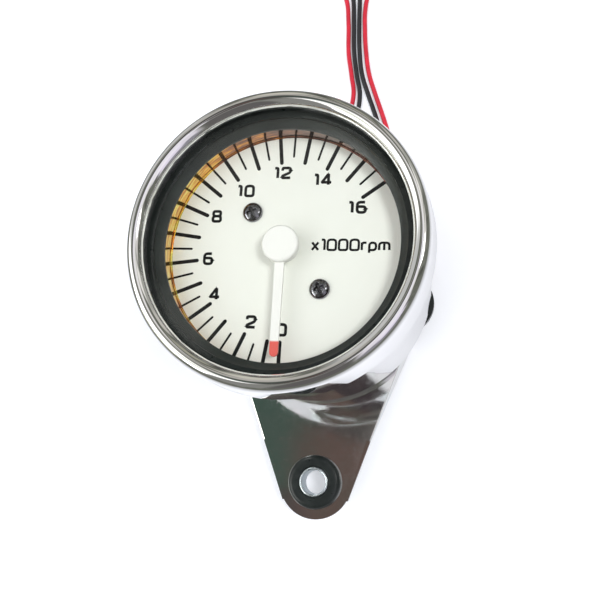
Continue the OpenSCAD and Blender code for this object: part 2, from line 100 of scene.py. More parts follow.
def add_camera():
    place = Vector((48.11, -56.15, 255.85)) * MM
    right = Vector((0.9769, 0.0313, -0.2114))
    up = Vector((0.0143, 0.9774, 0.2109))
    forward = up.cross(right).normalized()
    up = right.cross(forward).normalized()
    cam = bpy.data.cameras.new("camera")
    cam.lens = 49.33
    cam.sensor_width = 36
    cam.clip_start = 0.01
    cam.clip_end = 20
    obj = bpy.data.objects.new("camera", cam)
    axes = Matrix((right.normalized(), up, -forward)).transposed().to_4x4()
    obj.matrix_world = Matrix.Translation(place) @ axes
    bpy.context.scene.collection.objects.link(obj)
    bpy.context.scene.camera = obj


# Shader helpers

def material(name, color, rough=0.5, metallic=0.0, **sockets):
    mat = bpy.data.materials.new(name)
    mat.use_nodes = True
    shader = mat.node_tree.nodes["Principled BSDF"]
    shader.inputs["Base Color"].default_value = (*color, 1)
    shader.inputs["Roughness"].default_value = rough
    shader.inputs["Metallic"].default_value = metallic
    for key, value in sockets.items():
        shader.inputs[key.replace("_", " ")].default_value = value
    return mat


def add(mat, kind, **values):
    """New node, with each value set on the input of its name, or else as the node's own setting."""
    node = mat.node_tree.nodes.new(kind)
    for key, value in values.items():
        if key in node.inputs:
            node.inputs[key].default_value = value
        else:
            setattr(node, key, value)
    return node


def link(mat, source, target):
    mat.node_tree.links.new(source, target)


def shader_of(mat):
    return mat.node_tree.nodes["Principled BSDF"]


def coords(mat, stretch=(1, 1, 1)):
    """Object coordinates in millimetres, each multiplied by its stretch."""
    where = add(mat, "ShaderNodeTexCoord")
    scale = add(mat, "ShaderNodeMapping")
    scale.inputs["Scale"].default_value = [s / MM for s in stretch]
    link(mat, where.outputs["Object"], scale.inputs["Vector"])
    return scale.outputs["Vector"]


def radius_of(mat):
    """Distance from the gauge's axis in millimetres."""
    length = add(mat, "ShaderNodeVectorMath", operation="LENGTH")
    link(mat, coords(mat, (1, 1, 0)), length.inputs[0])
    return length.outputs["Value"]


def noise(mat, size, detail=3, stretch=(1, 1, 1)):
    """Noise whose features are about size millimetres across."""
    tex = add(mat, "ShaderNodeTexNoise", Scale=1 / size, Detail=detail)
    link(mat, coords(mat, stretch), tex.inputs["Vector"])
    return tex.outputs["Fac"]


def ramp(mat, source, *stops):
    """Colour ramp over source, its stops given as (place, colour)."""
    node = add(mat, "ShaderNodeValToRGB")
    while len(node.color_ramp.elements) < len(stops):
        node.color_ramp.elements.new(0.5)
    for element, (place, color) in zip(node.color_ramp.elements, stops):
        element.position = place
        element.color = (*color, 1)
    link(mat, source, node.inputs["Fac"])
    return node.outputs["Color"]


def spread(mat, source, lowest, highest, start=0.3, stop=0.7):
    """source from start to stop, mapped to lowest to highest."""
    node = add(mat, "ShaderNodeMapRange")
    for key, value in (("From Min", start), ("From Max", stop), ("To Min", lowest), ("To Max", highest)):
        node.inputs[key].default_value = value
    link(mat, source, node.inputs["Value"])
    return node.outputs["Result"]


def combine(mat, operation, *sources):
    """Result of a Math node's operation on the sources."""
    node = add(mat, "ShaderNodeMath", operation=operation)
    for socket, source in zip(node.inputs, sources):
        link(mat, source, socket)
    return node.outputs["Value"]


def bump(mat, source, depth):
    """Bump of depth millimetres from source."""
    node = add(mat, "ShaderNodeBump", Distance=depth * MM)
    link(mat, source, node.inputs["Height"])
    link(mat, node.outputs["Normal"], shader_of(mat).inputs["Normal"])


def vary(mat, socket, source):
    link(mat, source, shader_of(mat).inputs[socket])


def mottle(mat, size, detail, dark, light, start=0.3, stop=0.75):
    """Base colour that drifts from dark to light over noise of the given size."""
    vary(mat, "Base Color", ramp(mat, noise(mat, size, detail), (start, dark), (stop, light)))


def bare_material(name):
    """Material with only its output, for shaders other than the usual one."""
    mat = bpy.data.materials.new(name)
    mat.use_nodes = True
    mat.node_tree.nodes.remove(shader_of(mat))
    return mat


def show_mix(mat, factor, first, second, output="Material Output"):
    """Shows the first shader where factor is 0 and the second where it is 1."""
    mix = add(mat, "ShaderNodeMixShader")
    link(mat, factor, mix.inputs["Fac"])
    link(mat, first, mix.inputs[1])
    link(mat, second, mix.inputs[2])
    link(mat, mix.outputs["Shader"], mat.node_tree.nodes[output].inputs["Surface"])


def seen_by(mat, *rays):
    """1 for the named kinds of ray, 0 for the others."""
    path = add(mat, "ShaderNodeLightPath")
    total = path.outputs[rays[0]]
    for ray in rays[1:]:
        total = combine(mat, "MAXIMUM", total, path.outputs[ray])
    return total


# Materials

def chrome():
    mat = material("chrome", (0.9, 0.9, 0.91), 0.04, 1)
    mottle(mat, 14, 3, (0.86, 0.86, 0.875), (0.93, 0.93, 0.935))
    vary(mat, "Roughness", spread(mat, noise(mat, 2.5, 5), 0.03, 0.09, 0.4, 0.8))
    bump(mat, noise(mat, 3, 2), 0.006)
    return mat


def polished_sheet():
    mat = material("polished_sheet", (0.85, 0.85, 0.86), 0.06, 1)
    # Base colour drifts over noise between a greenish and a pinkish tint: a painted tint of coloured
    # reflections, over the sheet's random tone.
    mottle(mat, 9, 3, (0.78, 0.84, 0.81), (0.92, 0.86, 0.86))
    vary(mat, "Roughness", spread(mat, noise(mat, 1.6, 6), 0.045, 0.13, 0.4, 0.85))
    bump(mat, noise(mat, 9, 2), 0.005)
    return mat


def lens_glass():
    """Clear pane that also mirrors, by the index of glass, which is inverted on the way out."""
    mat = bare_material("lens_glass")
    index = 1.5
    clear = add(mat, "ShaderNodeBsdfTransparent", Color=(0.985, 0.99, 0.985, 1))
    gloss = add(mat, "ShaderNodeBsdfGlossy", Color=(0.55, 0.55, 0.55, 1), Roughness=0.01)
    side = add(mat, "ShaderNodeNewGeometry")
    fresnel = add(mat, "ShaderNodeFresnel")
    link(mat, spread(mat, side.outputs["Backfacing"], index, 1 / index, 0, 1), fresnel.inputs["IOR"])
    show_mix(mat, fresnel.outputs["Fac"], clear.outputs["BSDF"], gloss.outputs["BSDF"])
    return mat


def black_rubber():
    mat = material("black_rubber", (0.012, 0.015, 0.015), 0.3, Specular_IOR_Level=0.36)
    mottle(mat, 3, 4, (0.008, 0.011, 0.011), (0.02, 0.025, 0.024), stop=0.8)
    vary(mat, "Roughness", spread(mat, noise(mat, 1.2, 5), 0.27, 0.31))
    bump(mat, noise(mat, 1.5, 2), 0.003)
    return mat


def black_plastic():
    mat = material("black_plastic", (0.022, 0.027, 0.027), 0.4)
    mottle(mat, 6, 4, (0.017, 0.021, 0.021), (0.03, 0.036, 0.035), stop=0.8)
    vary(mat, "Roughness", spread(mat, noise(mat, 0.8, 5), 0.33, 0.5))
    bump(mat, noise(mat, 0.5, 3), 0.005)
    return mat


def amber_plastic():
    """Clear amber that mirrors the dial and its ticks in its own colour, with painted light making it
    brighter towards -X and painted shade making it darker towards +X.
    """
    mat = material("amber_plastic", (0.95, 0.5, 0.12), 0.07, 0.92)
    painted_light_span = 75
    # Painted light and shade: the base colour runs from dark brown at +X to bright orange at -X, where the
    # light falls, and stretched noise adds streaks of painted highlight and shade.
    split = add(mat, "ShaderNodeSeparateXYZ")
    link(mat, coords(mat), split.inputs["Vector"])
    side = add(mat, "ShaderNodeMath", operation="MULTIPLY_ADD")
    side.inputs[1].default_value = -1 / painted_light_span
    link(mat, split.outputs["X"], side.inputs[0])
    link(mat, spread(mat, noise(mat, 5, 5, (1, 1, 7)), 0.28, 0.72, 0.36, 0.64), side.inputs[2])
    vary(mat, "Base Color", ramp(mat, side.outputs["Value"],
                                 (0.3, (0.1, 0.035, 0.025)), (0.55, (0.24, 0.1, 0.06)),
                                 (0.72, (0.62, 0.22, 0.05)), (0.86, (1, 0.48, 0.03)),
                                 (1, (1, 0.88, 0.25))))
    vary(mat, "Roughness", spread(mat, noise(mat, 2, 3), 0.04, 0.12))
    bump(mat, noise(mat, 1.2, 3, (1, 1, 5)), 0.02)
    return mat


def dial_ivory():
    mat = material("dial_ivory", (0.915, 0.93, 0.87), 0.35, Coat_Weight=0.3, Coat_Roughness=0.08)
    mottle(mat, 9, 3, (0.905, 0.92, 0.86), (0.925, 0.94, 0.885))
    vary(mat, "Roughness", spread(mat, noise(mat, 4, 3), 0.3, 0.42))
    bump(mat, noise(mat, 0.5, 3), 0.002)
    return mat


def pointer_white():
    """White paint, red from a radius near the pointer's tip outwards."""
    white, red = (0.93, 0.93, 0.9), (0.78, 0.12, 0.1)
    red_from, edge, span = 24.3, 0.05, 100
    mat = material("pointer_white", white, 0.35)
    place = spread(mat, radius_of(mat), 0, 1, 0, span)
    vary(mat, "Base Color", ramp(mat, place, (0, white), ((red_from - edge) / span, white),
                                 ((red_from + edge) / span, red), (1, (0.8, 0.13, 0.1))))
    bump(mat, noise(mat, 0.6, 3), 0.004)
    return mat


def brushed(name, color, rough, size=1.5, depth=0.004):
    """Bare metal with fine marks drawn out along the level, size being theirs in millimetres."""
    mat = material(name, color, rough, 1)
    mottle(mat, size * 3, 4, [c * 0.86 for c in color], color)
    vary(mat, "Roughness", spread(mat, noise(mat, size, 5, (1, 1, 6)), rough * 0.7, rough * 1.3))
    bump(mat, noise(mat, size / 3, 4, (1, 1, 8)), depth)
    return mat


def sleeve(name, color, rough=0.35):
    """Soft vinyl of a wire or a terminal's sleeve."""
    mat = material(name, color, rough, Coat_Weight=0.15)
    mottle(mat, 4, 3, [c * 0.75 for c in color], color)
    bump(mat, noise(mat, 0.5, 3), 0.01)
    return mat


def black_ink():
    mat = material("black_ink", (0.008, 0.008, 0.009), 0.6, Specular_IOR_Level=0.15)
    mottle(mat, 0.8, 3, (0.006, 0.006, 0.007), (0.015, 0.015, 0.016), stop=0.8)
    return mat


def black_screw():
    mat = material("black_screw", (0.24, 0.24, 0.27), 0.12, 1)
    mottle(mat, 0.9, 4, (0.17, 0.17, 0.19), (0.3, 0.3, 0.33), start=0.35)
    vary(mat, "Roughness", spread(mat, noise(mat, 0.5, 5), 0.08, 0.16))
    bump(mat, noise(mat, 0.5, 4), 0.006)
    return mat


def bulb_glass():
    mat = material("bulb_glass", (0.95, 0.94, 0.88), 0.05, Transmission_Weight=0.9)
    bump(mat, noise(mat, 2, 2), 0.01)
    return mat


paint = {
    "chrome": chrome(),
    "polished_sheet": polished_sheet(),
    "lens_glass": lens_glass(),
    "black_rubber": black_rubber(),
    "black_plastic": black_plastic(),
    "amber_plastic": amber_plastic(),
    "dial_ivory": dial_ivory(),
    "black_screw": black_screw(),
    "brass": brushed("brass", (0.74, 0.56, 0.28), 0.28),
    "bronze": brushed("bronze", (0.6, 0.42, 0.24), 0.4),
    "aluminium": brushed("aluminium", (0.8, 0.8, 0.82), 0.26),
    "plated_steel": brushed("plated_steel", (0.76, 0.84, 0.88), 0.3),
    "steel": brushed("steel", (0.5, 0.5, 0.52), 0.26),
    "cast_boss": brushed("cast_boss", (0.66, 0.66, 0.68), 0.34),
    "pointer_white": pointer_white(),
    "bulb_glass": bulb_glass(),
    "red_wire": sleeve("red_wire", (0.75, 0.02, 0.05)),
    "black_wire": sleeve("black_wire", (0.02, 0.02, 0.025)),
    "terminal_metal": brushed("terminal_metal", (0.75, 0.74, 0.7), 0.25),
}
terminal_vinyl = {
    "black_wire": sleeve("vinyl_black", (0.025, 0.025, 0.028), 0.4),
    "red_wire": sleeve("vinyl_red", (0.6, 0.02, 0.04), 0.4),
}
ink = black_ink()


def dress_cad():
    """Gives each CAD node the material of its slot."""
    slot_of = {row["node"]: row["material_slot"] for row in frame["record"]["subparts"]}
    for name, obj in nodes.items():
        obj.data.materials.clear()
        obj.data.materials.append(paint[slot_of[name]])


# Mesh helpers, in millimetres

def mesh_piece(name, verts, faces, mat, body="root", smooth=True, sharp=35):
    """Piece of the gauge that rides on body, with edges over sharp degrees left crisp."""
    mesh = bpy.data.meshes.new(name)
    mesh.from_pydata([Vector(v) * MM for v in verts], [], faces)
    mesh.validate()
    mesh.materials.append(mat)
    obj = bpy.data.objects.new(name, mesh)
    bpy.context.scene.collection.objects.link(obj)
    if smooth:
        mesh.shade_smooth()
        mesh.set_sharp_from_angle(angle=math.radians(sharp))
    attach(obj, body)
    return obj


def lathe(profile, steps, center=(0, 0), closed=True):
    """Vertices and faces of a profile of (radius, height) turned about Z."""
    verts = []
    n = len(profile)
    for i in range(steps):
        a = 2 * math.pi * i / steps
        for r, z in profile:
            verts.append((center[0] + r * math.cos(a), center[1] + r * math.sin(a), z))
    faces = []
    for i in range(steps):
        j = (i + 1) % steps
        for k in range(n if closed else n - 1):
            m = (k + 1) % n
            faces.append((i * n + k, j * n + k, j * n + m, i * n + m))
    return verts, faces


def arc(x, y, rx, ry, start, stop, steps):
    """Points of an arc about (x, y), the angles in degrees."""
    angles = [math.radians(start + (stop - start) * i / steps) for i in range(steps + 1)]
    return [(x + rx * math.cos(a), y + ry * math.sin(a)) for a in angles]


def turned(name, profile, mat, steps, center=(0, 0)):
    verts, faces = lathe(profile, steps, center)
    return mesh_piece(name, verts, faces, mat)


def join(parts):
    """One list of vertices and one of faces from several."""
    verts, faces = [], []
    for vs, fs in parts:
        base = len(verts)
        verts += vs
        faces += [tuple(base + i for i in f) for f in fs]
    return verts, faces


# Wires: the same route points as the CAD tubes

def route_start(boot, side):
    """Middle of a wire where it leaves its bulb holder's outlet."""
    lowest, highest = low("bulb_holder_" + boot), high("bulb_holder_" + boot)
    return [(lowest.x + highest.x) / 2 + side * wire_pair_half, highest.y, outlet_z]


RIGHT_RED = [[26.1, 15, 3.5], [25.9, 20, 2.5], [25.5, 26, 1.4], [24.8, 32, 0.9], [23.6, 39, 0.8],
             [21.8, 47, 0.8], [19.6, 55, 0.8], [17.2, 63, 0.8], [14.6, 71, 0.8], [12.6, 78, 0.8],
             [11.5, 86, 0.8], [11, 94, 0.8], [11, 102, 0.8], [12, 108, 0.8], [14.4, 113.5, 1.4],
             [16, 118.5, 2.3], [16, 121, 2.3]]
RIGHT_BLACK = [[24.1, 15, 3.5], [23.8, 20, 2.5], [23.3, 26, 1.4], [22.5, 32, 0.9], [21.2, 39, 0.8],
               [19.2, 48, 0.8], [16.9, 56, 0.8], [14.7, 63.4, 0.8], [12.2, 71, 0.8], [10.2, 78, 0.8],
               [9.3, 86, 0.8], [9, 94, 0.8], [9, 102, 0.8], [9.2, 108, 0.8], [10.1, 113.5, 1.4],
               [10.6, 118.5, 2.3], [10.6, 121, 2.3]]
LEFT_RED = [[-26, 21, 3.3], [-25.2, 26, 2.2], [-23.6, 32, 1.2], [-20.6, 38.5, 0.8], [-16.2, 44.5, 0.8],
            [-10.6, 50, 0.8], [-4.4, 55, 0.8], [1.4, 59.6, 0.8], [5.8, 64.4, 0.8], [7.4, 70, 0.8],
            [6.6, 78, 0.8], [5.5, 86, 0.8], [5.2, 98, 0.8], [4.2, 107, 0.8], [1.4, 113, 1.4],
            [-0.2, 118.5, 2.3], [-0.2, 121, 2.3]]
LEFT_BLACK = [[-24, 21, 3.3], [-23.2, 26, 2.2], [-21.6, 31.4, 1.2], [-18.8, 37, 0.8], [-14.6, 42.5, 0.8],
              [-9.2, 47.6, 0.8], [-3, 52.6, 0.8], [3, 57.2, 0.8], [8, 62.6, 0.8], [9.6, 69.6, 0.8],
              [8.4, 78, 0.8], [7.4, 86, 0.8], [7.1, 98, 0.8], [6.7, 107, 0.8], [5.6, 113, 1.4],
              [5.2, 118.5, 2.3], [5.2, 121, 2.3]]
# Bulb holder, side of the pair, end of the straight start along Y, and route of each wire
WIRES = {
    "right_red": ("right", 1, 11, RIGHT_RED),
    "right_black": ("right", -1, 11, RIGHT_BLACK),
    "left_red": ("left", -1, 17, LEFT_RED),
    "left_black": ("left", 1, 17, LEFT_BLACK),
}


def spline_length(spline):
    total = 0
    steps = 24
    points = spline.bezier_points
    for a, b in zip(points, points[1:]):
        line = interpolate_bezier(a.co, a.handle_right, b.handle_left, b.co, steps)
        total += sum((q - p).length for p, q in zip(line, line[1:]))
    return total


def wire_slot(name):
    return "red_wire" if "red" in name else "black_wire"


def add_wire(name, boot, side, second_y, rest):
    """Lead from its bulb holder to its terminal, a little thinner than the CAD tube."""
    start = route_start(boot, side)
    route = [start, [start[0], second_y, start[2]]] + rest
    curve = bpy.data.curves.new(name + "_lead", "CURVE")
    curve.dimensions = "3D"
    curve.bevel_depth = wire_r * 0.96 * MM
    curve.bevel_resolution = 6
    curve.resolution_u = 8
    curve.use_fill_caps = True
    spline = curve.splines.new("BEZIER")
    spline.bezier_points.add(len(route) - 1)
    for point, co in zip(spline.bezier_points, route):
        point.co = Vector(co) * MM
        point.handle_left_type = "AUTO"
        point.handle_right_type = "AUTO"
    obj = bpy.data.objects.new(name + "_lead", curve)
    bpy.context.scene.collection.objects.link(obj)
    bpy.context.view_layer.update()
    curve.materials.append(paint[wire_slot(name)])
    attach(obj, "root")
    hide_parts(name + "_wire")
    round(spline_length(spline), 4)


# Dial print: strokes, numerals and the unit, raised a hair above the dial

print_h = 0.04


def ribbon(points, width, z):
    """Flat ribbon of constant width along an open line, with mitred corners, as a closed solid."""
    verts, faces = [], []
    last = len(points) - 1
    for i, (x, y) in enumerate(points):
        here = Vector((x, y))
        d1 = (here - Vector(points[i - 1])).normalized() if i > 0 else None
        d2 = (Vector(points[i + 1]) - here).normalized() if i < last else None
        d1 = d1 or d2
        d2 = d2 or d1
        t = (d1 + d2).normalized()
        side = Vector((-t.y, t.x))
        reach = width / 2 / max(0.5, side.dot(Vector((-d1.y, d1.x))))
        for s, up in ((1, z), (-1, z), (-1, z + print_h), (1, z + print_h)):
            verts.append((x + side.x * s * reach, y + side.y * s * reach, up))
    for a in range(0, 4 * last, 4):
        for k in range(4):
            m = (k + 1) % 4
            faces.append((a + k, a + m, a + 4 + m, a + 4 + k))
    faces.append((3, 2, 1, 0))
    faces.append(tuple(4 * last + k for k in range(4)))
    return verts, faces


def rounded(points, radius):
    """An open line through points with its inner corners rounded."""
    steps = 4
    out = [points[0]]
    for a, b, c in zip(points, points[1:], points[2:]):
        b = Vector(b)
        to_a = Vector(a) - b
        to_c = Vector(c) - b
        r = min(radius, to_a.length / 2, to_c.length / 2)
        start, stop = b + to_a.normalized() * r, b + to_c.normalized() * r
        for i in range(steps + 1):
            t = i / steps
            out.append(tuple((1 - t) ** 2 * start + 2 * t * (1 - t) * b + t * t * stop))
    out.append(points[-1])
    return out


# Width of a common character, and each character's width and its strokes as open lines,
# where a numeral is 1 high
W = 0.78
GLYPHS = {
    "0": (W, [[(W / 2, 0), (W, 0), (W, 1), (0, 1), (0, 0), (W / 2, 0)]]),
    "1": (0.3, [[(0, 1), (0.3, 1), (0.3, 0)]]),
    "2": (W, [[(0, 0.74), (0, 1), (W, 1), (W, 0.55), (0, 0.2), (0, 0), (W, 0)]]),
    "4": (W + 0.06, [[(0.58, 0), (0.58, 1), (0.5, 1), (0, 0.28), (0, 0.24), (W + 0.08, 0.24)]]),
    "6": (W, [[(W * 0.92, 1), (0, 1), (0, 0), (W, 0), (W, 0.57), (0, 0.57)]]),
    "8": (W, [[(W / 2, 0), (W, 0), (W, 0.53), (0, 0.53), (0, 0), (W / 2, 0)],
              [(W / 2, 1), (W - 0.03, 1), (W - 0.03, 0.53), (0.03, 0.53), (0.03, 1), (W / 2, 1)]]),
    "x": (0.6, [[(0, 0), (0.6, 0.74)], [(0, 0.74), (0.6, 0)]]),
    "r": (0.4, [[(0, 0), (0, 0.72)], [(0, 0.4), (0.04, 0.7), (0.42, 0.7)]]),
    "p": (0.62, [[(0, -0.26), (0, 0.7), (0.62, 0.7), (0.62, 0), (0, 0)]]),
    "m": (0.94, [[(0, 0), (0, 0.7), (0.94, 0.7), (0.94, 0)], [(0.47, 0.7), (0.47, 0)]]),
}


def dial_point(x, y):
    """Point of the dial's own frame, turned as the dial is turned in its case."""
    a = math.radians(dial_turn)
    return (x * math.cos(a) - y * math.sin(a), x * math.sin(a) + y * math.cos(a))


def word(text, x, y, height, stroke, gap):
    """Solids of a word centred on (x, y) in the dial's frame, crossing strokes a hair apart in height."""
    widths = [GLYPHS[c][0] * height for c in text]
    total = sum(widths) + gap * (len(text) - 1)
    at = x - total / 2
    step, corner_r = 0.002, 0.3 * height
    parts = []
    for c, w in zip(text, widths):
        for k, line in enumerate(GLYPHS[c][1]):
            points = [(at + px * height, y - height / 2 + py * height) for px, py in line]
            points = [dial_point(*p) for p in rounded(points, corner_r)]
            parts.append(ribbon(points, stroke, dial_z + step * k))
        at += w + gap
    return parts


def ticks():
    """Strokes at 0 and at every 500 from 1000 to 16000, the thousands long, with a round inner end."""
    zero, sixteen, per_thousand = -90, -324, 15.07
    long_in, short_in, out = 23.3, 25.1, light_r
    long_w, short_w = 0.98, 0.56
    tip_h, steps = print_h - 0.004, 12
    angles = [(zero, True)] + [(sixteen + per_thousand * k / 2, k % 2 == 0) for k in range(31)]
    parts = []
    for angle, is_long in angles:
        a = math.radians(angle)
        width = long_w if is_long else short_w
        start = (long_in if is_long else short_in) + width / 2
        line = [dial_point(r * math.cos(a), r * math.sin(a)) for r in (start, out)]
        parts.append(ribbon(line, width, dial_z))
        tip = dial_point(start * math.cos(a), start * math.sin(a))
        ring = [(tip[0] + width / 2 * math.cos(2 * math.pi * i / steps),
                 tip[1] + width / 2 * math.sin(2 * math.pi * i / steps)) for i in range(steps)]
        verts = [(px, py, z) for z in (dial_z, dial_z + tip_h) for px, py in ring]
        faces = [tuple(reversed(range(steps))), tuple(range(steps, 2 * steps))]
        faces += [(i, (i + 1) % steps, steps + (i + 1) % steps, steps + i) for i in range(steps)]
        parts.append((verts, faces))
    return parts


# Middle of each numeral in the dial's frame
NUMERALS = {"12": (-2.2, 20.9), "14": (8.6, 18.85), "16": (17.9, 11.3), "10": (-11.85, 16.1),
            "8": (-19.2, 9.2), "6": (-20.6, -2.3), "4": (-18, -11.7), "2": (-7.8, -18.75),
            "0": (0.25, -20.6)}


def add_print():
    numerals = []
    for text, (x, y) in NUMERALS.items():
        numerals += word(text, x, y, height=2.72, stroke=0.74, gap=1.25)
    unit = word("x1000rpm", 16.6, 1.45, height=2.7, stroke=0.6, gap=0.8)
    for name, parts in (("dial_ticks", ticks()), ("dial_numerals", numerals), ("dial_unit", unit)):
        verts, faces = join(parts)
        obj = mesh_piece(name, verts, faces, ink, smooth=False)


# Pieces with a finer surface than the CAD nodes that they stand for

def add_bezel():
    """Rolled ring: rear edge turned in, widening wall, flank, crest and the fall to the lens."""
    crest_r = sight_r + 2.25
    crest_w, flank_from, flank_r = 1.85, 30, 6
    neck_r = crest_r + 2.2
    inner_r = cup_r + 0.05
    lip_z = crest_z - crest_drop
    fall = crest_r - sight_r
    w = bezel_wall
    roll = 0.5
    start = math.radians(flank_from)
    slope = math.atan(crest_w / crest_drop * math.tan(start))
    flank_x = crest_r + crest_w * math.cos(start) - flank_r * math.cos(slope)
    flank_z = lip_z + crest_drop * math.sin(start) - flank_r * math.sin(slope)
    flare = math.acos((neck_r - flank_x) / flank_r)
    profile = [(inner_r, bezel_back)]
    profile += arc(bezel_r - roll, bezel_back + roll, roll, roll, -90, math.degrees(flare), 8)
    profile += arc(flank_x, flank_z, flank_r, flank_r, math.degrees(flare), math.degrees(slope), 10)
    profile += arc(crest_r, lip_z, crest_w, crest_drop, flank_from, 90, 14)[1:]
    profile += arc(crest_r, lip_z, fall, crest_drop, 90, 180, 20)[1:]
    profile += [(sight_r, lens_top), (sight_r + w, lens_top)]
    profile += arc(crest_r, lip_z, fall - w, crest_drop - w, 180, 90, 8)
    profile += arc(crest_r, lip_z, neck_r - w - crest_r, crest_drop - w, 72, 0, 4)
    profile += [(bezel_r - w, seat_z - w), (inner_r, seat_z - w)]
    obj = turned("bezel_ring", profile, paint["chrome"], 256)
    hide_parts("bezel")


def add_mask_ring():
    """Ring under the lens: a flat top, a soft shoulder and a face falling to the dial."""
    shelf = seat_z + 2.4
    shoulder, soft = 0.5, 0.25
    inner_r = light_out + 0.3
    profile = [(rim_r, mask_base), (rim_r, mask_top)]
    profile += arc(mask_r + 2.3, mask_top - shoulder, shoulder, shoulder, 90, 160, 5)
    profile += arc(mask_r + soft, shelf + 0.85, soft, soft, 160, 180, 2)
    profile += arc(mask_r + soft, shelf + soft, soft, soft, 180, 270, 4)
    profile += [(inner_r, shelf), (inner_r, mask_base)]
    obj = turned("mask_face", profile, paint["black_plastic"], 256)
    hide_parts("mask_ring")


def add_lens():
    """Flat glass with ground edges, a hair clear of the gasket under it."""
    edge, gap = 0.3, 0.03
    foot = lens_base + gap
    profile = [(0, foot), (lens_r - edge, foot), (lens_r, foot + edge), (lens_r, lens_top - edge),
               (lens_r - edge, lens_top), (0, lens_top)]
    verts, faces = lathe(profile, 256, closed=False)
    obj = mesh_piece("lens_pane", verts, faces, paint["lens_glass"])
    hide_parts("lens")


def add_light_ring():
    """Amber ring round the dial, with a narrow foot that catches the light."""
    foot, soft = 0.35, 0.2
    foot_r = light_r - foot
    profile = [(light_out, dial_z), (light_out, light_top), (mask_r + 0.3, light_top)]
    profile += arc(foot_r, dial_z + foot + 0.25, soft, 0.25, 0, 60, 3)
    profile += arc(foot_r + 0.05, dial_z + soft, soft, soft, 100, 200, 4)
    profile += [(foot_r, dial_z + 0.02)]
    obj = turned("light_face", profile, paint["amber_plastic"], 256)
    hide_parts("light_ring")


def add_dial_screws():
    """Domed black heads with a cross recess, as height fields on rings of points, on plain shanks."""
    head_r, edge, head_h = 2.6, 0.5, 1.7
    shank_r, shank_l = 1.2, 7
    rings, steps = 30, 72
    parts = []
    for angle in (133, -47):
        a = math.radians(angle + dial_turn)
        cx, cy = screw_circle * math.cos(a), screw_circle * math.sin(a)
        verts, faces = [], []
        for i in range(rings + 1):
            r = head_r * math.sin(math.pi / 2 * i / rings)
            dome = edge + (head_h - edge) * math.sqrt(max(0, 1 - (r / head_r) ** 2))
            for k in range(steps):
                t = 2 * math.pi * k / steps
                x, y = r * math.cos(t), r * math.sin(t)
                verts.append((cx + x, cy + y, dial_z + dome - cross_depth(x, y)))
        for k in range(steps):
            t = 2 * math.pi * k / steps
            verts.append((cx + head_r * math.cos(t), cy + head_r * math.sin(t), dial_z))
        for i in range(rings + 1):
            for k in range(steps):
                n = (k + 1) % steps
                faces.append((i * steps + k, (i + 1) * steps + k, (i + 1) * steps + n, i * steps + n))
        shank = [(0, dial_z), (shank_r, dial_z), (shank_r, dial_z - shank_l), (0, dial_z - shank_l)]
        parts += [(verts, faces), lathe(shank, 24, (cx, cy), closed=False)]
    verts, faces = join(parts)
    obj = mesh_piece("dial_screw_heads", verts, faces, paint["black_screw"], sharp=50)
    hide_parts("dial_screws")


def ease(t):
    """t held between 0 and 1, starting and stopping softly."""
    t = min(1, max(0, t))
    return t * t * (3 - 2 * t)


def cross_depth(x, y):
    """Depth of the cross recess at (x, y) from the screw's axis."""
    turn = math.radians(20)
    u = abs(x * math.cos(turn) + y * math.sin(turn))
    v = abs(y * math.cos(turn) - x * math.sin(turn))
    arm, half, depth = 1.5, 0.5, 0.85
    side_slope, end_slope = 0.3, 0.5
    return max(depth * ease((half - across) / side_slope) * ease((arm - along) / end_slope)
               for along, across in ((u, v), (v, u)))


def add_pointer_cap():
    """White cap on the pointer's hub, with a rounded upper edge."""
    edge, foot_edge = 0.7, 0.15
    base = pointer_z + pointer_t
    profile = [(0, base), (cap_r - 0.12, base)]
    profile += arc(cap_r - foot_edge, base + foot_edge, foot_edge, foot_edge, -90, 0, 3)[1:]
    profile += arc(cap_r - edge, cap_top - edge, edge, edge, 0, 90, 8)
    profile += [(0, cap_top)]
    verts, faces = lathe(profile, 128, closed=False)
    obj = mesh_piece("pointer_hub", verts, faces, paint["pointer_white"], "pointer")
    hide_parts("pointer_cap")


def add_grommet():
    """Rubber grommet held by the sheet in its groove, and the steel collar in its bore."""
    out = (high("grommet").x - low("grommet").x) / 2
    foot, top = low("grommet").z, high("grommet").z
    collar_out = (high("grommet_collar").x - low("grommet_collar").x) / 2
    rim, hole, collar_t = 1.6, 6, 0.8
    profile = [(collar_out, foot)]
    profile += arc(out - rim, foot + rim, rim, rim, -90, 0, 10)
    profile += [(out, plate_low), (hole, plate_low), (hole, plate_top), (out, plate_top)]
    profile += arc(out - rim, top - rim, rim, rim, 0, 90, 10)
    profile += [(collar_out + 0.5, top), (collar_out, top - 0.4)]
    rubber = turned("grommet_rubber", profile, paint["black_rubber"], 128, (0, tab_y))
    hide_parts("grommet")
    lip = collar_t / 2
    profile = arc(collar_out - lip, top - lip, lip, lip, 0, 180, 12)
    profile += arc(collar_out - lip, foot + lip, lip, lip, 180, 360, 12)
    steel = turned("collar_sleeve", profile, paint["plated_steel"], 128, (0, tab_y))
    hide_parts("grommet_collar")


def add_boots():
    """Rubber bulb holders, each with grip rings and a ribbed outlet for its two wires."""
    for side in ("right", "left"):
        lowest, highest = low("bulb_holder_" + side), high("bulb_holder_" + side)
        out = (highest.x - lowest.x) / 2
        cx, cy = (lowest.x + highest.x) / 2, lowest.y + out
        body, body_faces = lathe(boot_profile(lowest.z, out), 128, (cx, cy), closed=False)
        tube, tube_faces = lathe(outlet_profile(highest.y - cy), 48, closed=False)
        tube = [(cx + x, cy + z, outlet_z + y) for x, y, z in tube]
        verts, faces = join([(body, body_faces), (tube, [f[::-1] for f in tube_faces])])
        obj = mesh_piece("bulb_boot_" + side, verts, faces, paint["black_rubber"], sharp=50)
        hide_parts("bulb_holder_" + side)


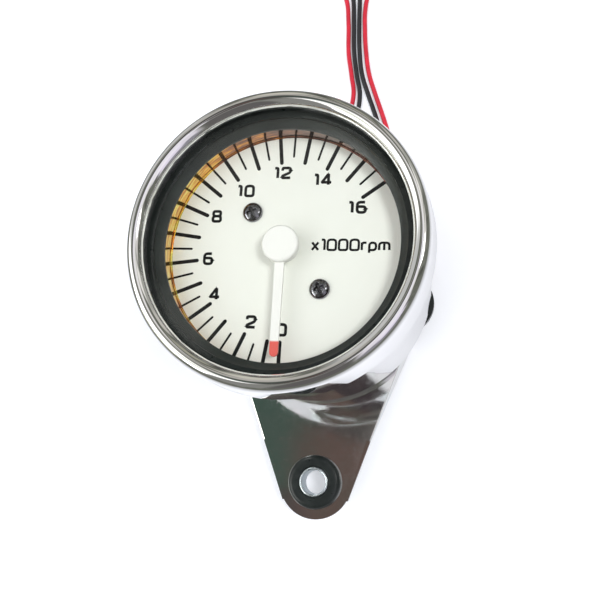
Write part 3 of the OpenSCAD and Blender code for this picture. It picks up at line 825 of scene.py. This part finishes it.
def boot_profile(foot, out):
    """Half section of a bulb holder: round foot, three grip rings, collar, plug in the cup, bore."""
    floor_z = cup_back + cup_wall
    foot_r, foot_round, collar_round = 5, 1.6, 1.4
    grip_pitch, groove = 1.7, 0.3
    plug_r, plug_top = 4.3, floor_z + 2.2
    bore_r, bore_foot = 3.3, 5.5
    profile = [(0, foot)]
    profile += arc(foot_r, foot + foot_round, foot_round, foot_round, -90, -10, 6)
    for k in range(3):
        z = foot + 2.6 + grip_pitch * k
        r = 6.5 + 0.8 * (z - foot - foot_round) / 6.4
        profile += [(r, z), (r - groove, z + 0.25), (r - groove, z + 0.65), (r + 0.1, z + 0.9)]
    profile += [(7.4, 8.4)]
    profile += arc(out - collar_round, 9.8, collar_round, collar_round, -80, 0, 7)
    profile += [(out, cup_back), (plug_r, cup_back), (plug_r, floor_z), (plug_r + 0.5, floor_z),
                (plug_r + 0.1, plug_top), (bore_r, plug_top), (bore_r, bore_foot), (0, bore_foot)]
    return profile


def outlet_profile(stop):
    """Half section of a holder's outlet along its own axis, with two grooves near its end."""
    start, out, groove, pitch, end_round = 4, 2.6, 0.3, 1.2, 0.4
    ribs = stop - 3.2
    profile = [(0, start), (out, start), (out, ribs)]
    for k in range(2):
        y = ribs + pitch * k
        profile += [(out - groove, y + 0.15), (out - groove, y + 0.5), (out, y + 0.65), (out, y + pitch)]
    profile += arc(out - end_round, stop - end_round, end_round, end_round, 0, 90, 4)
    profile += [(0, stop)]
    return profile


def thread(radius, root, foot, top, pitch):
    """Side face of a threaded rod as rings of points, its ridges running up as a helix."""
    steps = 48
    rows = int((top - foot) / pitch * 8)
    verts, faces = [], []
    for i in range(rows + 1):
        z = foot + (top - foot) * i / rows
        fade = min(1, (z - foot) / pitch, (top - z) / pitch)
        for k in range(steps):
            a = 2 * math.pi * k / steps
            phase = (z / pitch - k / steps) % 1
            ridge = 1 - abs(2 * phase - 1)
            r = root + (radius - root) * min(1, max(0, 1.6 * ridge - 0.3)) * fade
            verts.append((r * math.cos(a), r * math.sin(a), z))
    for i in range(rows):
        for k in range(steps):
            n = (k + 1) % steps
            faces.append((i * steps + k, i * steps + n, (i + 1) * steps + n, (i + 1) * steps + k))
    return verts, faces


def add_boss():
    """Threaded nose that takes the cable's union nut, with its bore, neck and inner flange."""
    nose, neck, flange = 6, 5.5, 8.5
    root = nose - 0.45
    thread_foot, thread_top, neck_z = 0.5, 8.5, 8.9
    floor_z = cup_back + cup_wall
    flange_top = floor_z + 1.2
    bush, mouth, bush_foot = 3.9, 4.4, 3
    parts = [thread(nose, root, thread_foot, thread_top, 1)]
    for profile in ([(neck, neck_z), (root, thread_top)],
                    [(flange, floor_z), (neck, floor_z), (neck, neck_z)],
                    [(bush, bush_foot), (bush, flange_top), (flange, flange_top), (flange, floor_z)],
                    [(root, thread_foot), (root, 0.4), (nose - 0.7, 0), (mouth + 0.3, 0), (mouth, 0.3),
                     (mouth, bush_foot), (bush, bush_foot)]):
        parts.append(lathe(profile, 48, closed=False))
    verts, faces = join(parts)
    obj = mesh_piece("boss_thread", verts, faces, paint["cast_boss"], sharp=40)
    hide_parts("cable_boss")


def add_terminals():
    """Bullet connectors: a vinyl sleeve over the crimp, then the plated neck and bullet."""
    cover_l, neck_r, neck_l, length = 11, 1.7, 14.2, 18
    for name in WIRES:
        node = name + "_terminal"
        lowest, highest = low(node), high(node)
        cx, r = (lowest.x + highest.x) / 2, (highest.x - lowest.x) / 2
        cover = [(wire_r, 0.3), (1.3, 0), (1.7, 0.1), (2, 0.8), (r - 0.1, 2.4), (r, 3.2),
                 (r, cover_l - 0.6), (r - 0.15, cover_l - 0.1), (r - 0.5, cover_l), (1.75, cover_l)]
        bullet = [(0, 4), (neck_r, 4), (neck_r, neck_l), (1.55, neck_l + 0.3), (1.3, neck_l + 0.3),
                  (1.25, 14.7), (1.3, 15), (1.75, 15.05), (1.8, 15.4), (1.7, 16.2), (1.35, 17.3),
                  (1, 17.85), (0.7, length), (0, length)]
        slot = wire_slot(name)
        for kind, profile, mat, finish in (("cover", cover, terminal_vinyl[slot], slot),
                                           ("bullet", bullet, paint["terminal_metal"], "terminal_metal")):
            verts, faces = lathe(profile, 40, closed=False)
            verts = [(cx + x, lowest.y + z, lowest.z + r + y) for x, y, z in verts]
            obj = mesh_piece(name + "_" + kind, verts, [f[::-1] for f in faces], mat, sharp=40)
            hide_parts(node)


def soften(name, width):
    """Rounds the sharp edges of a CAD node so that they catch the light."""
    obj = nodes[name]
    flat = obj.modifiers.new("flat", "DECIMATE")
    flat.decimate_type = "DISSOLVE"
    flat.angle_limit = math.radians(2)
    edge = obj.modifiers.new("edge", "BEVEL")
    edge.width = width * MM
    edge.segments = 2
    edge.limit_method = "ANGLE"
    edge.angle_limit = math.radians(35)


# Studio: the sheet that the gauge lies on, the table round it, the room and the lamps

WALL = (0.15, 0.155, 0.13)
TABLE = (0.16, 0.165, 0.14)
SKY_LEVEL = 0.5


def stage_sheet(name, z, mat):
    """Level square sheet, which isn't part of the gauge."""
    half = 3000
    corners = [(-half, -half, z), (half, -half, z), (half, half, z), (-half, half, z)]
    mesh = bpy.data.meshes.new(name)
    mesh.from_pydata([Vector(v) * MM for v in corners], [], [(0, 1, 2, 3)])
    mesh.materials.append(mat)
    obj = bpy.data.objects.new(name, mesh)
    bpy.context.scene.collection.objects.link(obj)
    return obj


def floor_material():
    """Nearly white in the lamps' light, and lifted to white for the rays that see it as background."""
    mat = bare_material("floor")
    diffuse = add(mat, "ShaderNodeBsdfDiffuse", Color=(0.79, 0.8, 0.84, 1))
    glow = add(mat, "ShaderNodeEmission", Color=(0.93, 0.96, 1, 1))
    background = combine(mat, "MULTIPLY", spread(mat, radius_of(mat), 0.3, 1, 200, 700),
                         seen_by(mat, "Is Camera Ray", "Is Transmission Ray"))
    mirrored = spread(mat, seen_by(mat, "Is Glossy Ray"), 0, 0.1, 0, 1)
    link(mat, combine(mat, "ADD", background, mirrored), glow.inputs["Strength"])
    both = add(mat, "ShaderNodeAddShader")
    link(mat, diffuse.outputs["BSDF"], both.inputs[0])
    link(mat, glow.outputs["Emission"], both.inputs[1])
    link(mat, both.outputs["Shader"], mat.node_tree.nodes["Material Output"].inputs["Surface"])
    return mat


def table_material():
    """The dim table beyond the white sheet, clear near the gauge."""
    mat = bare_material("table")
    clear = add(mat, "ShaderNodeBsdfTransparent")
    glow = add(mat, "ShaderNodeEmission", Color=(*TABLE, 1))
    far = spread(mat, radius_of(mat), 0, 1, 80, 190)
    show_mix(mat, far, clear.outputs["BSDF"], glow.outputs["Emission"])
    return mat


# The room that shiny pieces mirror: dim walls under soft bright and dark patches, later ones over
# earlier ones, each given as (azimuth, half width, lowest and highest elevation, soft edge, colour),
# angles in degrees
PATCHES = [
    (188, 30, 20, 62, 11, (1.6, 1.6, 1.55)),
    (150, 8, 14, 44, 6, (0.92, 0.92, 0.87)),
    (199, 9, -20, 60, 7, (0.9, 0.92, 0.8)),
    (141, 13, -5, 44, 10, (0.56, 0.56, 0.54)),
    (120, 8, 44, 64, 7, (0.48, 0.46, 0.42)),
    (105, 4, 22, 46, 8, (0.6, 0.58, 0.5)),
    (82, 4, 24, 42, 7, (0.36, 0.35, 0.28)),
    (60, 5, 6, 32, 5, (0.55, 0.53, 0.48)),
    (45, 6, 2, 60, 8, (0.38, 0.38, 0.34)),
    (45, 5, 34, 50, 6, (0.85, 0.83, 0.78)),
    (20, 9, 34, 58, 7, (0.68, 0.66, 0.62)),
    (318, 10, 26, 80, 10, (0.78, 0.74, 0.8)),
    (318, 8, -10, 30, 10, (0.28, 0.27, 0.3)),
    (328, 8, 26, 52, 7, (0.82, 0.76, 0.88)),
    (335, 12, 50, 80, 7, (0.92, 0.88, 0.95)),
    (45, 54, 60, 80, 7, (0.84, 0.82, 0.8)),
    (12, 86, 74, 91, 7, (0.88, 0.86, 0.9)),
    (17, 4, 48, 56, 4, (8, 8, 7.7)),
    (200, 20, 29, 36, 4, (9, 9, 8.8)),
    (240, 12, 10, 60, 8, (0.25, 0.25, 0.23)),
    (278, 16, 0, 62, 10, (0.125, 0.118, 0.114)),
    (265, 22, 70.5, 73, 2, (0.42, 0.4, 0.38)),
    (165, 62, 75, 91, 6, (0.078, 0.068, 0.067)),
    (168, 14, 71, 76.5, 3, (0.065, 0.095, 0.08)),
    (205, 40, 79, 86, 3, (0.12, 0.085, 0.075)),
    (128, 20, 76, 84, 4, (0.045, 0.04, 0.045)),
    (264, 21, 75, 82, 4, (0.055, 0.045, 0.048)),
    (195, 105, 84, 91, 3, (0.26, 0.25, 0.24)),
]


def soft_step(sky, source, outside, inside):
    """0 from outside on, 1 from inside on, and between them a soft step, whichever is the larger."""
    rising = outside < inside
    step = add(sky, "ShaderNodeMapRange", interpolation_type="SMOOTHSTEP")
    for key, value in (("From Min", min(outside, inside)), ("From Max", max(outside, inside)),
                       ("To Min", 0 if rising else 1), ("To Max", 1 if rising else 0)):
        step.inputs[key].default_value = value
    link(sky, source, step.inputs["Value"])
    return step.outputs["Result"]


def patch_mask(sky, azimuth, elevation, place, half, lowest, highest, soft):
    """1 inside the patch, falling to 0 over its soft edge."""
    wrap = add(sky, "ShaderNodeMath", operation="WRAP")
    wrap.inputs[1].default_value = place + 180
    wrap.inputs[2].default_value = place - 180
    link(sky, azimuth, wrap.inputs[0])
    around = wrap.outputs["Value"]
    mask = soft_step(sky, around, place - half - soft, place - half)
    for source, outside, inside in ((around, place + half + soft, place + half),
                                    (elevation, lowest - soft, lowest),
                                    (elevation, highest + soft, highest)):
        mask = combine(sky, "MULTIPLY", mask, soft_step(sky, source, outside, inside))
    return mask


def blend(sky, below, mask, color):
    """color over below where mask is 1. The Mix node's colour sockets are 6, 7 and output 2."""
    mix = add(sky, "ShaderNodeMix", data_type="RGBA")
    link(sky, mask, mix.inputs[0])
    link(sky, below, mix.inputs[6])
    mix.inputs[7].default_value = (*color, 1)
    return mix.outputs[2]


def room_color(sky):
    """Colour of the room in every direction: streaky walls and the patches."""
    where = add(sky, "ShaderNodeTexCoord")
    split = add(sky, "ShaderNodeSeparateXYZ")
    link(sky, where.outputs["Generated"], split.inputs["Vector"])
    azimuth = combine(sky, "DEGREES", combine(sky, "ARCTAN2", split.outputs["Y"], split.outputs["X"]))
    elevation = combine(sky, "DEGREES", combine(sky, "ARCSINE", split.outputs["Z"]))
    streaks = add(sky, "ShaderNodeTexNoise", noise_dimensions="1D", Scale=0.16, Detail=3)
    link(sky, azimuth, streaks.inputs["W"])
    dark = [c * 0.5 for c in WALL]
    light = [c * 1.5 for c in WALL]
    color = ramp(sky, streaks.outputs["Fac"], (0.3, dark), (0.7, light))
    for place, half, lowest, highest, soft, tint in PATCHES:
        mask = patch_mask(sky, azimuth, elevation, place, half, lowest, highest, soft)
        color = blend(sky, color, mask, tint)
    return color


def add_world():
    """White light all round, and the room for rays that shiny pieces mirror."""
    sky = bpy.data.worlds.new("world")
    bpy.context.scene.world = sky
    sky.use_nodes = True
    plain = sky.node_tree.nodes["Background"]
    plain.inputs["Color"].default_value = (1, 1, 1, 1)
    link(sky, spread(sky, seen_by(sky, "Is Camera Ray", "Is Transmission Ray"), SKY_LEVEL, 1, 0, 1),
         plain.inputs["Strength"])
    room = add(sky, "ShaderNodeBackground")
    link(sky, room_color(sky), room.inputs["Color"])
    show_mix(sky, seen_by(sky, "Is Glossy Ray"), plain.outputs["Background"], room.outputs["Background"],
             "World Output")


def add_lamp(name, place, size, power):
    """Square lamp aimed at the gauge, left out of its reflections."""
    aim = Vector((0, 0, 40)) * MM
    lamp = bpy.data.lights.new(name, "AREA")
    lamp.size = size
    lamp.energy = power
    obj = bpy.data.objects.new(name, lamp)
    obj.location = Vector(place) * MM
    obj.rotation_mode = "QUATERNION"
    obj.rotation_quaternion = (aim - obj.location).to_track_quat("-Z", "Y")
    obj.visible_glossy = False
    bpy.context.scene.collection.objects.link(obj)


def add_studio():
    stage_sheet("floor", -0.02, floor_material())
    table = stage_sheet("table", -0.01, table_material())
    table.visible_camera = False
    table.visible_diffuse = False
    table.visible_shadow = False
    table.visible_transmission = False
    add_world()
    add_lamp("window", (-420, -180, 900), 0.9, 5)
    add_lamp("ceiling", (380, -60, 860), 0.2, 3.9)
    bpy.context.scene.view_settings.view_transform = "Standard"


add_camera()
dress_cad()
add_terminals()
for wire_name, (boot, side, second_y, rest) in WIRES.items():
    add_wire(wire_name, boot, side, second_y, rest)
add_bezel()
add_mask_ring()
add_lens()
add_light_ring()
add_dial_screws()
add_pointer_cap()
add_grommet()
add_boots()
add_boss()
for node, edge in (("bracket", 0.15), ("pointer", 0.12), ("mounting_nuts", 0.2), ("mounting_washers", 0.1)):
    soften(node, edge)
add_print()
add_studio()
